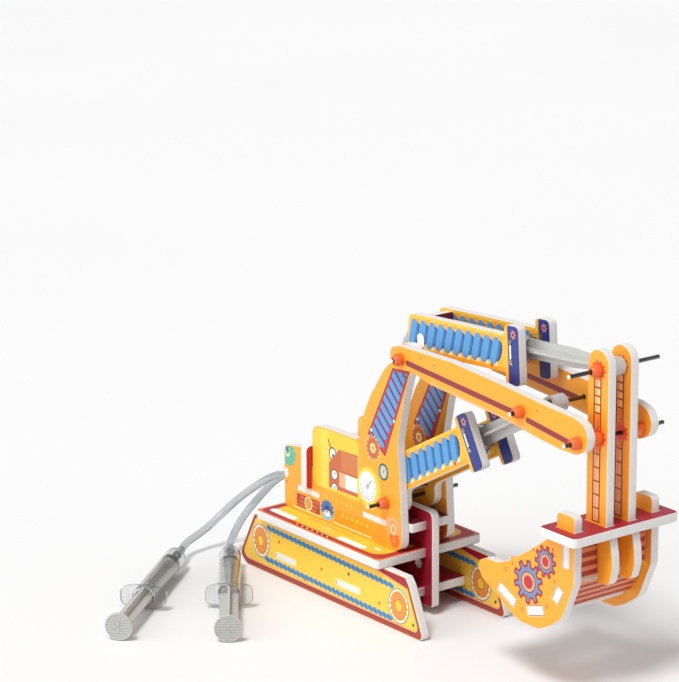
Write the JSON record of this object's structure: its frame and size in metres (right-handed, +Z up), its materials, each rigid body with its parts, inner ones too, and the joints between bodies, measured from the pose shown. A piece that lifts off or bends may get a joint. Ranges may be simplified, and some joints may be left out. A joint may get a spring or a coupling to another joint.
{
  "type": "hydraulic excavator kit",
  "caption": "Foam-board model excavator whose boom and stick are worked by hand syringes through clear tubes.",
  "frame": {"origin": "on the table under the middle of the box of the object, tubes left out", "axes": "+X forwards from the cab to the bucket, +Y to the side away from the hand syringes, +Z up"},
  "size_m": [0.318, 0.1968, 0.182],
  "materials": {
    "orange_board": "printed foam board, orange art, pale foam edge",
    "yellow_board": "printed foam board, yellow art, pale foam edge",
    "crimson_board": "printed foam board, crimson art, pale foam edge",
    "orange_plastic": "moulded, satin",
    "black_rod": "smooth",
    "clear_plastic": "clear moulded",
    "clear_tube": "clear flexible",
    "dark_rubber": "matt"
  },
  "bodies": {
    "chassis": {"body_rod": "black_rod", "body_rod_cap_far": "orange_plastic", "body_rod_cap_near": "orange_plastic", "body_side_far": "orange_board", "body_side_near": "orange_board", "deck": "crimson_board", "keel": "crimson_board", "lower_master_barrel": "clear_plastic", "lower_plate": "crimson_board", "lower_tube": "clear_tube", "rear_cross_plate": "crimson_board", "tower_rod": "black_rod", "tower_rod_cap_far": "orange_plastic", "tower_rod_cap_near": "orange_plastic", "track_far": "yellow_board", "track_near": "yellow_board", "upper_master_barrel": "clear_plastic", "upper_plate": "crimson_board", "upper_tube": "clear_tube"},
    "boom": {"boom_end_rod": "black_rod", "boom_end_rod_cap_far": "orange_plastic", "boom_end_rod_cap_near": "orange_plastic", "boom_far": "orange_board", "boom_near": "orange_board", "boom_rod": "black_rod", "boom_rod_cap_far": "orange_plastic", "boom_rod_cap_near": "orange_plastic", "stick_spacer_far": "orange_plastic", "stick_spacer_near": "orange_plastic"},
    "stick": {"bucket_bottom_plate": "orange_board", "bucket_front_plate": "orange_board", "bucket_lower_plate": "orange_board", "bucket_rear_plate": "orange_board", "bucket_side_far": "orange_board", "bucket_side_near": "orange_board", "bucket_top_plate": "crimson_board", "stick_far": "orange_board", "stick_near": "orange_board", "stick_rod": "black_rod", "stick_rod_cap_far": "orange_plastic", "stick_rod_cap_near": "orange_plastic"},
    "lower_cylinder": {"lower_cylinder_plate": "crimson_board", "lower_cylinder_side_far": "orange_board", "lower_cylinder_side_near": "orange_board", "lower_slave_barrel": "clear_plastic"},
    "lower_plunger": {"lower_slave_plunger": "clear_plastic", "lower_slave_seal": "dark_rubber"},
    "upper_cylinder": {"upper_cylinder_plate": "crimson_board", "upper_cylinder_side_far": "orange_board", "upper_cylinder_side_near": "orange_board", "upper_slave_barrel": "clear_plastic"},
    "upper_plunger": {"upper_slave_plunger": "clear_plastic", "upper_slave_seal": "dark_rubber"},
    "lower_master_plunger": {"lower_master_plunger": "clear_plastic", "lower_master_seal": "dark_rubber"},
    "upper_master_plunger": {"upper_master_plunger": "clear_plastic", "upper_master_seal": "dark_rubber"}
  },
  "joints": [
    {"name": "boom_lift", "type": "hinge", "parent": "chassis", "child": "boom", "pos_m": [0.00227, 0.06234, 0.1485], "axis": [0, -1, 0], "range_deg": [-18, 6]},
    {"name": "stick_swing", "type": "hinge", "parent": "boom", "child": "stick", "pos_m": [0.14237, 0.06234, 0.1369], "axis": [0, -1, 0], "range_deg": [-8, 26]},
    {"name": "lower_cylinder_tilt", "type": "hinge", "parent": "chassis", "child": "lower_cylinder", "pos_m": [-0.01723, 0.06234, 0.0629], "axis": [0, -1, 0], "range_deg": [-11.5, 3.9]},
    {"name": "lower_plunger_slide", "type": "slide", "parent": "lower_cylinder", "child": "lower_plunger", "axis": [0.8749, 0, 0.4843], "range_m": [-0.0203, 0.0068]},
    {"name": "lower_master_push", "type": "slide", "parent": "chassis", "child": "lower_master_plunger", "axis": [0.808, -0.5892, 0], "range_m": [-0.0068, 0.0203]},
    {"name": "upper_cylinder_tilt", "type": "hinge", "parent": "boom", "child": "upper_cylinder", "pos_m": [0.00227, 0.06234, 0.1485], "axis": [0, -1, 0], "range_deg": [-0.85, 0.3]},
    {"name": "upper_plunger_slide", "type": "slide", "parent": "upper_cylinder", "child": "upper_plunger", "axis": [0.9977, 0, 0.0679], "range_m": [-0.016, 0.005]},
    {"name": "upper_master_push", "type": "slide", "parent": "chassis", "child": "upper_master_plunger", "axis": [0.6401, -0.7683, 0], "range_m": [-0.005, 0.016]}
  ],
  "couplings": [
    {"joint": "lower_cylinder_tilt", "follows": "boom_lift", "ratio": 0.6258},
    {"joint": "lower_plunger_slide", "follows": "boom_lift", "m_per_rad": 0.0637},
    {"joint": "lower_master_push", "follows": "boom_lift", "m_per_rad": -0.0637},
    {"joint": "upper_cylinder_tilt", "follows": "stick_swing", "ratio": -0.031},
    {"joint": "upper_plunger_slide", "follows": "stick_swing", "m_per_rad": -0.035},
    {"joint": "upper_master_push", "follows": "stick_swing", "m_per_rad": 0.035}
  ]
}
